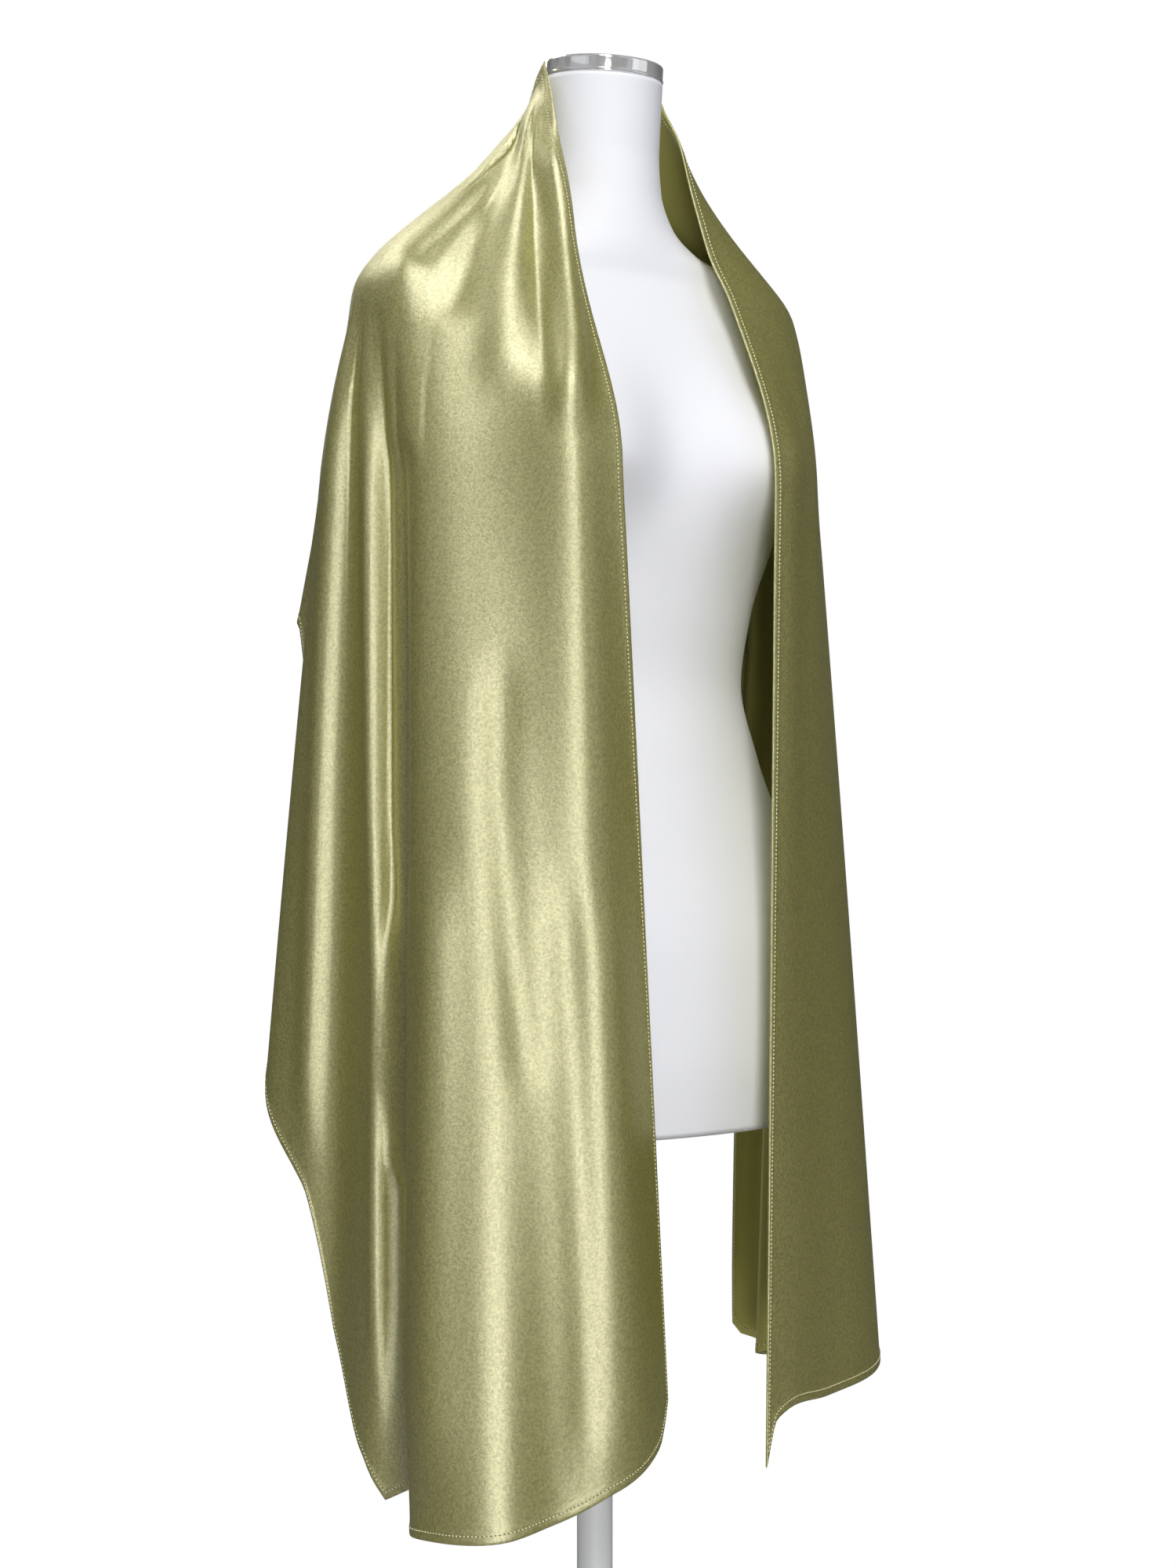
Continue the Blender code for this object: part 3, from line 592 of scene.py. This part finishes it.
def make_stitches(grid, out, thread, hole_painted_shade):
    """Short arched threads on both faces of the hem, and dark discs between them as painted shade in the needle
    holes.
    """
    centre, normal, way = stitch_path(grid, out)
    side = np.cross(normal, way)
    threads, thread_faces, hole_painted_shades, hole_faces = [], [], [], []
    for face in (1, -1):
        base = centre + face * normal * STITCH_BED
        for step, rise, fat in STITCH_RINGS:
            middle = base + way * step * STITCH_LONG + face * normal * rise * STITCH_RISE
            for i in range(STITCH_SIDES):
                a = 2 * math.pi * i / STITCH_SIDES
                spoke = side * math.cos(a) + normal * math.sin(a) * 0.8
                threads.append(middle + spoke * fat * THREAD_RADIUS)
        holed = centre + way * STITCH_PITCH / 2 + face * normal * HOLE_BED
        hole_painted_shades.append(holed + face * normal * HOLE_DOME)
        for i in range(HOLE_SIDES):
            a = 2 * math.pi * i / HOLE_SIDES
            hole_painted_shades.append(holed + (side * math.cos(a) + way * math.sin(a)) * HOLE_RADIUS)
    count, n, top = len(centre), STITCH_SIDES, len(STITCH_RINGS) - 1
    grid_t = np.array(threads)              # (2 * rings * sides, count, 3)
    for face in (0, 1):
        for k in range(count):
            low = face * (top + 1) * n
            for r in range(top):
                for i in range(n):
                    j = (i + 1) % n
                    quad = [low + r * n + i, low + r * n + j, low + (r + 1) * n + j, low + (r + 1) * n + i]
                    if face:
                        quad.reverse()
                    thread_faces.append([q * count + k for q in quad])
            ends = [[low + i for i in reversed(range(n))], [low + top * n + i for i in range(n)]]
            for end in ends:
                if face:
                    end.reverse()
                thread_faces.append([q * count + k for q in end])
            low = face * (HOLE_SIDES + 1)
            for i in range(HOLE_SIDES):
                tri = [low, low + 1 + i, low + 1 + (i + 1) % HOLE_SIDES]
                if face == 0:
                    tri.reverse()
                hole_faces.append([q * count + k for q in tri])
    made = add_mesh("hem_stitches", grid_t.reshape(-1, 3), thread_faces, [thread])
    # dark discs of painted shade where the needle holes are
    dots = add_mesh("needle_hole_painted_shades", np.array(hole_painted_shades).reshape(-1, 3), hole_faces, [hole_painted_shade])
    return made, dots


def make_form(look):
    """The form's body: the CAD's own rings drawn finely, with a soft edge round the flat bottom."""
    sides, soft = 144, 0.004
    low, high = BODY[0][0], BODY[-1][0]
    heights = np.concatenate([np.linspace(low + soft, 1.10, 60)[:-1], np.linspace(1.10, high, 110)])
    turns = np.linspace(0, 2 * math.pi, sides, endpoint=False)
    rings = []
    for step in range(5):
        a = 0.5 * math.pi * step / 5
        ring = body_point(turns, np.full(sides, low + soft * (1 - math.sin(a))))
        r = np.linalg.norm(ring[:, :2], axis=1, keepdims=True)
        ring[:, :2] *= (r - soft * (1 - math.cos(math.pi / 2 - a))) / r
        rings.append(ring)
    for z in heights:
        rings.append(body_point(turns, np.full(sides, z)))
    points = np.concatenate(rings)
    blend = np.clip((points[:, 2] - TILT_FROM) / (high - TILT_FROM), 0, 1)
    points[:, 2] += blend * math.tan(CAP_TILT) * (points[:, 1] - BODY[-1][4])
    faces = ring_faces(len(rings), sides)
    return add_mesh("form_body", points, faces, [look])


def ring_faces(count, sides):
    """Faces of a closed tube of rings, bottom to top, with flat ends."""
    faces = [list(reversed(range(sides)))]
    for ring in range(count - 1):
        for i in range(sides):
            j = (i + 1) % sides
            faces.append([ring * sides + i, ring * sides + j, (ring + 1) * sides + j, (ring + 1) * sides + i])
    faces.append(list(range((count - 1) * sides, count * sides)))
    return faces


def make_cap(look):
    """The chrome neck cap: a rolled lower lip, a slightly hollowed band and a rounded top edge."""
    sides = 128
    angles = np.linspace(0, 2 * math.pi, sides, endpoint=False)
    up, over = math.cos(CAP_TILT), math.sin(CAP_TILT)
    rings = []
    for radius, height in CAP_PROFILE:
        x, y = radius * np.cos(angles), radius * np.sin(angles)
        rings.append(np.stack([x, BODY[-1][4] + y * up - height * over,
                               BODY[-1][0] + SEAT / up + y * over + height * up], -1))
    return add_mesh("neck_cap_chrome", np.concatenate(rings), ring_faces(len(rings), sides), [look])


def new_look(name):
    made = bpy.data.materials.new(name)
    made.use_nodes = True
    return made, made.node_tree, made.node_tree.nodes["Principled BSDF"]


def add(tree, kind, **values):
    node = tree.nodes.new(kind)
    for key, value in values.items():
        if hasattr(node, key):
            setattr(node, key, value)
        else:
            node.inputs[key.replace("_", " ")].default_value = value
    return node


def noise(tree, space, scale, detail, rough=0.5, stretch=(1, 1, 1)):
    """A noise texture in metres; space is Object or UV."""
    where = add(tree, "ShaderNodeTexCoord")
    fit = add(tree, "ShaderNodeMapping", Scale=stretch)
    made = add(tree, "ShaderNodeTexNoise", Scale=scale, Detail=detail, Roughness=rough)
    tree.links.new(where.outputs[space], fit.inputs["Vector"])
    tree.links.new(fit.outputs["Vector"], made.inputs["Vector"])
    return made.outputs["Fac"]


def ramp(tree, source, stops):
    made = add(tree, "ShaderNodeValToRGB")
    while len(made.color_ramp.elements) < len(stops):
        made.color_ramp.elements.new(0.5)
    for element, (place, colour) in zip(made.color_ramp.elements, stops):
        element.position = place
        element.color = (*colour, 1.0)
    tree.links.new(source, made.inputs["Fac"])
    return made.outputs["Color"]


def ranged(tree, source, low, high, out_low, out_high):
    made = add(tree, "ShaderNodeMapRange", From_Min=low, From_Max=high, To_Min=out_low, To_Max=out_high)
    tree.links.new(source, made.inputs["Value"])
    return made.outputs["Result"]


def bump(tree, source, strength, distance, under=None):
    made = add(tree, "ShaderNodeBump", Strength=strength, Distance=distance)
    tree.links.new(source, made.inputs["Height"])
    if under is not None:
        tree.links.new(under, made.inputs["Normal"])
    return made.outputs["Normal"]


def tinted(colour, gain):
    return tuple(channel * gain for channel in colour)


def satin_look():
    made, tree, shader = new_look("satin_face")
    shader.inputs["IOR"].default_value = 2.9
    shader.inputs["Specular Tint"].default_value = (1.0, 0.97, 0.70, 1.0)
    grain = noise(tree, "Object", 480, 4, 0.9)
    tree.links.new(ranged(tree, grain, 0.40, 0.60, 0.70, 1.0), shader.inputs["Specular IOR Level"])
    colour = ramp(tree, grain, [(0.40, tinted(SATIN, 0.62)), (0.60, tinted(SATIN, 1.38))])
    tree.links.new(colour, shader.inputs["Base Color"])
    slub = noise(tree, "UV", 260, 3, 0.6, (1.0, 7.0, 1.0))
    tree.links.new(ranged(tree, slub, 0.3, 0.7, 0.39, 0.46), shader.inputs["Roughness"])
    normal = bump(tree, grain, 1.0, 0.00028)
    normal = bump(tree, slub, 0.4, 0.00016, normal)
    drape = noise(tree, "Object", 34, 2, 0.5, (1.0, 1.0, 0.22))
    normal = bump(tree, drape, 0.5, 0.0009, normal)
    tree.links.new(normal, shader.inputs["Normal"])
    return made


def satin_back_painted_fill_look():
    """The matte wrong side of the satin: its own olive, lightened as painted fill light where the inside lies
    in shade.
    """
    made, tree, shader = new_look("satin_wrong_side_painted_fill")
    shader.inputs["Specular IOR Level"].default_value = 0.25
    shader.inputs["Sheen Weight"].default_value = 0.12
    shader.inputs["Roughness"].default_value = 0.72
    grain = noise(tree, "Object", 1300, 3, 0.7)
    # painted fill light: the wrong side's colour is kept light so its shaded inside does not go dark
    colour = ramp(tree, grain, [(0.25, tinted(SATIN_BACK_PAINTED_FILL, 0.88)), (0.75, tinted(SATIN_BACK_PAINTED_FILL, 1.12))])
    tree.links.new(colour, shader.inputs["Base Color"])
    slub = noise(tree, "UV", 240, 3, 0.6, (6.0, 1.0, 1.0))
    normal = bump(tree, grain, 0.3, 0.00012)
    tree.links.new(bump(tree, slub, 0.3, 0.00012, normal), shader.inputs["Normal"])
    return made


def jersey_look():
    made, tree, shader = new_look("jersey_fine")
    shader.inputs["Roughness"].default_value = 0.68
    shader.inputs["Specular IOR Level"].default_value = 0.3
    shader.inputs["Sheen Weight"].default_value = 0.15
    fine = noise(tree, "Object", 1700, 2, 0.6, (1.0, 1.0, 0.6))
    broad = noise(tree, "Object", 7, 2, 0.5)
    colour = ramp(tree, broad, [(0.3, tinted(JERSEY, 0.985)), (0.7, JERSEY)])
    tree.links.new(colour, shader.inputs["Base Color"])
    tree.links.new(bump(tree, fine, 0.22, 0.0001), shader.inputs["Normal"])
    return made


def chrome_look():
    made, tree, shader = new_look("chrome_polished")
    shader.inputs["Metallic"].default_value = 0.7
    smear = noise(tree, "Object", 90, 3, 0.6, (1.0, 1.0, 0.3))
    tree.links.new(ranged(tree, smear, 0.3, 0.7, 0.04, 0.12), shader.inputs["Roughness"])
    colour = ramp(tree, smear, [(0.3, (0.86, 0.86, 0.87)), (0.7, (0.95, 0.95, 0.96))])
    tree.links.new(colour, shader.inputs["Base Color"])
    tree.links.new(bump(tree, smear, 0.08, 0.0004), shader.inputs["Normal"])
    return made


def paint_look():
    """White powder coat on the stand, with its fine orange peel."""
    made, tree, shader = new_look("powder_coat_white")
    shader.inputs["Roughness"].default_value = 0.42
    peel = noise(tree, "Object", 620, 2, 0.5)
    broad = noise(tree, "Object", 9, 2, 0.5)
    colour = ramp(tree, broad, [(0.3, tinted(PAINT, 0.97)), (0.7, PAINT)])
    tree.links.new(colour, shader.inputs["Base Color"])
    tree.links.new(bump(tree, peel, 0.25, 0.0002), shader.inputs["Normal"])
    return made


def plain_look(name, colour, rough, scale):
    made, tree, shader = new_look(name)
    shader.inputs["Roughness"].default_value = rough
    speck = noise(tree, "Object", scale, 2, 0.6)
    mixed = ramp(tree, speck, [(0.3, tinted(colour, 0.9)), (0.7, colour)])
    tree.links.new(mixed, shader.inputs["Base Color"])
    return made


def area_light(name, place, aim, size, power, colour):
    data = bpy.data.lights.new(name, "AREA")
    data.shape = "RECTANGLE"
    data.size, data.size_y = size
    data.energy = power
    data.color = colour
    made = bpy.data.objects.new(name, data)
    bpy.context.scene.collection.objects.link(made)
    made.location = place
    way = np.array(aim, float) - np.array(place, float)
    flat = math.hypot(way[0], way[1])
    made.rotation_euler = (math.atan2(flat, -way[2]), 0.0, math.atan2(-way[0], way[1]))
    return made


def set_world():
    """A white backdrop to the camera, and soft uneven light on the object, stronger from the front and left."""
    world = bpy.data.worlds.new("studio")
    bpy.context.scene.world = world
    world.use_nodes = True
    tree = world.node_tree
    light = tree.nodes["Background"]
    light.inputs["Color"].default_value = (*SKY, 1.0)
    where = add(tree, "ShaderNodeTexCoord")
    facing = add(tree, "ShaderNodeVectorMath", operation="DOT_PRODUCT")
    way = np.array(SKY_FRONT, float) / np.linalg.norm(SKY_FRONT)
    facing.inputs[1].default_value = tuple(way)
    tree.links.new(where.outputs["Generated"], facing.inputs[0])
    level = ranged(tree, facing.outputs["Value"], -0.1, 1.0, SKY_DIM, SKY_BRIGHT)
    room = noise(tree, "Generated", 2.6, 1, 0.4, (1.0, 1.0, 0.25))
    panes = ranged(tree, room, 0.42, 0.58, 0.45, 1.55)
    both = add(tree, "ShaderNodeMath", operation="MULTIPLY")
    tree.links.new(level, both.inputs[0])
    tree.links.new(panes, both.inputs[1])
    tree.links.new(both.outputs["Value"], light.inputs["Strength"])
    backdrop = add(tree, "ShaderNodeBackground", Strength=1.0)
    backdrop.inputs["Color"].default_value = (1.0, 1.0, 1.0, 1.0)
    ray = add(tree, "ShaderNodeLightPath")
    either = add(tree, "ShaderNodeMixShader")
    tree.links.new(ray.outputs["Is Camera Ray"], either.inputs["Fac"])
    tree.links.new(light.outputs["Background"], either.inputs[1])
    tree.links.new(backdrop.outputs["Background"], either.inputs[2])
    tree.links.new(either.outputs["Shader"], tree.nodes["World Output"].inputs["Surface"])


def backdrop_for_camera(tree):
    """Makes a surface plain white to the camera and leaves it as it is to the light."""
    shader, output = tree.nodes["Principled BSDF"], tree.nodes["Material Output"]
    white = add(tree, "ShaderNodeEmission", Strength=1.0)
    white.inputs["Color"].default_value = (1.0, 1.0, 1.0, 1.0)
    ray = add(tree, "ShaderNodeLightPath")
    either = add(tree, "ShaderNodeMixShader")
    tree.links.new(ray.outputs["Is Camera Ray"], either.inputs["Fac"])
    tree.links.new(shader.outputs["BSDF"], either.inputs[1])
    tree.links.new(white.outputs["Emission"], either.inputs[2])
    tree.links.new(either.outputs["Shader"], output.inputs["Surface"])


def set_stage():
    """Floor, soft light and the camera."""
    floor_look = plain_look("studio_floor", (0.34, 0.34, 0.35), 0.8, 3)
    backdrop_for_camera(floor_look.node_tree)
    corners = [(-FLOOR, -FLOOR, 0), (FLOOR, -FLOOR, 0), (FLOOR, FLOOR, 0), (-FLOOR, FLOOR, 0)]
    floor = add_mesh("floor", np.array(corners, float), [[0, 1, 2, 3]], [floor_look])
    set_world()
    for row in LAMPS:
        area_light(*row)
    data = bpy.data.cameras.new("photo_camera")
    data.lens = LENS
    data.sensor_width = SENSOR
    data.clip_end = 100.0
    camera = bpy.data.objects.new("photo_camera", data)
    bpy.context.scene.collection.objects.link(camera)
    camera.location = CAMERA_AT
    camera.rotation_euler = (math.radians(90), 0.0, math.radians(CAMERA_TURN))
    bpy.context.scene.camera = camera
    bpy.context.scene.view_settings.view_transform = "Standard"


satin, satin_back_painted_fill = satin_look(), satin_back_painted_fill_look()
jersey, chrome, paint = jersey_look(), chrome_look(), paint_look()
thread = plain_look("thread", THREAD, 0.55, 900)
# painted shade for the needle holes
hole_painted_shade = plain_look("needle_hole_painted_shade", HOLE_PAINTED_SHADE, 0.9, 900)

sheet, sheet_grid, sheet_out = make_sheet([satin, satin_back_painted_fill])
stitches, hole_painted_shades = make_stitches(sheet_grid, sheet_out, thread, hole_painted_shade)
form = make_form(jersey)
cap = make_cap(chrome)

for piece, slot_name, nodes in (
    (sheet, "satin", ("stole_right_front", "stole_back", "stole_left_front")),
    (stitches, "satin", ()),
    (hole_painted_shades, "satin", ()),
    (form, "jersey", ("dress_form",)),
    (cap, "chrome", ("neck_cap",)),
):
    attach(piece, "root")
    if nodes:
        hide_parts(*nodes)
for node in ("pole_flange", "stand_base", "stand_pole"):
    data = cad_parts[node].data
    data.materials.clear()
    data.materials.append(paint)

set_stage()
